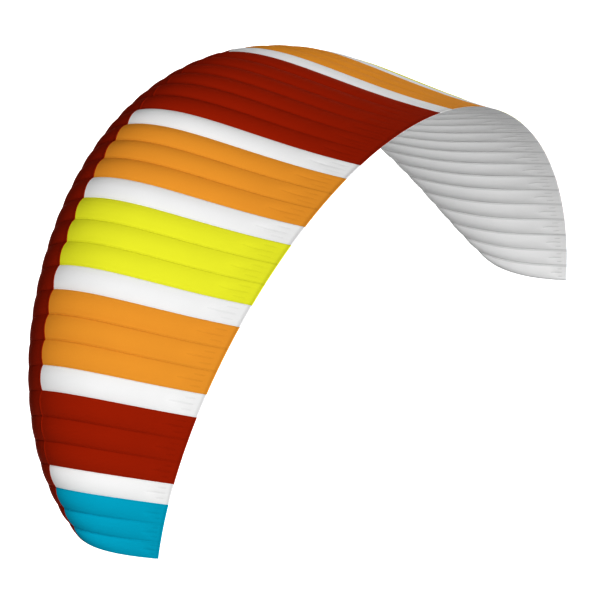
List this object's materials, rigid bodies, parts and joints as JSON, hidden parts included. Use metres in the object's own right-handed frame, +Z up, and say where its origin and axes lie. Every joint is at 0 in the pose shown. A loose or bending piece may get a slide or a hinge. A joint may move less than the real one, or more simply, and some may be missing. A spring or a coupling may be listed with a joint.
{
  "type": "paraglider wing",
  "caption": "Ram-air paraglider canopy in flight: an arched, swept sail of swelling cells in coloured bands, air intakes under the nose, a pale bottom sail and closed tips.",
  "frame": {"origin": "on the bottom sail at the centre seam, 30 per cent of the centre chord behind the nose, where the middle suspension lines are tied", "axes": "+X from the nose to the tail, along the centre chord; +Y to the right tip; +Z up"},
  "size_m": [2.9942, 9.0624, 3.6267],
  "materials": {
    "sailcloth_teal": "coated ripstop sailcloth, smooth and slightly glossy",
    "sailcloth_white": "coated ripstop sailcloth, smooth and slightly glossy",
    "sailcloth_dark_red": "coated ripstop sailcloth, smooth and slightly glossy",
    "sailcloth_orange": "coated ripstop sailcloth, smooth and slightly glossy",
    "sailcloth_yellow": "coated ripstop sailcloth, smooth and slightly glossy",
    "sailcloth_pale_grey": "coated ripstop sailcloth, smooth and slightly glossy"
  },
  "bodies": {
    "root": {"top_panel_01": "sailcloth_teal", "top_panel_02": "sailcloth_teal", "top_panel_03": "sailcloth_teal", "top_panel_04": "sailcloth_white", "top_panel_05": "sailcloth_dark_red", "top_panel_06": "sailcloth_dark_red", "top_panel_07": "sailcloth_dark_red", "top_panel_08": "sailcloth_white", "top_panel_09": "sailcloth_orange", "top_panel_10": "sailcloth_orange", "top_panel_11": "sailcloth_orange", "top_panel_12": "sailcloth_white", "top_panel_13": "sailcloth_yellow", "top_panel_14": "sailcloth_yellow", "top_panel_15": "sailcloth_yellow", "top_panel_16": "sailcloth_white", "top_panel_17": "sailcloth_orange", "top_panel_18": "sailcloth_orange", "top_panel_19": "sailcloth_orange", "top_panel_20": "sailcloth_white", "top_panel_21": "sailcloth_dark_red", "top_panel_22": "sailcloth_dark_red", "top_panel_23": "sailcloth_dark_red", "top_panel_24": "sailcloth_dark_red", "top_panel_25": "sailcloth_dark_red", "top_panel_26": "sailcloth_dark_red", "top_panel_27": "sailcloth_white", "top_panel_28": "sailcloth_orange", "top_panel_29": "sailcloth_orange", "top_panel_30": "sailcloth_orange", "top_panel_31": "sailcloth_white", "top_panel_32": "sailcloth_yellow", "top_panel_33": "sailcloth_yellow", "top_panel_34": "sailcloth_yellow", "top_panel_35": "sailcloth_white", "top_panel_36": "sailcloth_orange", "top_panel_37": "sailcloth_orange", "top_panel_38": "sailcloth_orange", "top_panel_39": "sailcloth_white", "top_panel_40": "sailcloth_dark_red", "top_panel_41": "sailcloth_dark_red", "top_panel_42": "sailcloth_dark_red", "top_panel_43": "sailcloth_white", "top_panel_44": "sailcloth_teal", "top_panel_45": "sailcloth_teal", "top_panel_46": "sailcloth_teal", "bottom_panel_01": "sailcloth_pale_grey", "bottom_panel_02": "sailcloth_pale_grey", "bottom_panel_03": "sailcloth_pale_grey", "bottom_panel_04": "sailcloth_pale_grey", "bottom_panel_05": "sailcloth_pale_grey", "bottom_panel_06": "sailcloth_pale_grey", "bottom_panel_07": "sailcloth_pale_grey", "bottom_panel_08": "sailcloth_pale_grey", "bottom_panel_09": "sailcloth_pale_grey", "bottom_panel_10": "sailcloth_pale_grey", "bottom_panel_11": "sailcloth_pale_grey", "bottom_panel_12": "sailcloth_pale_grey", "tip_rib_left": "sailcloth_white", "tip_rib_right": "sailcloth_white"}
  },
  "joints": []
}
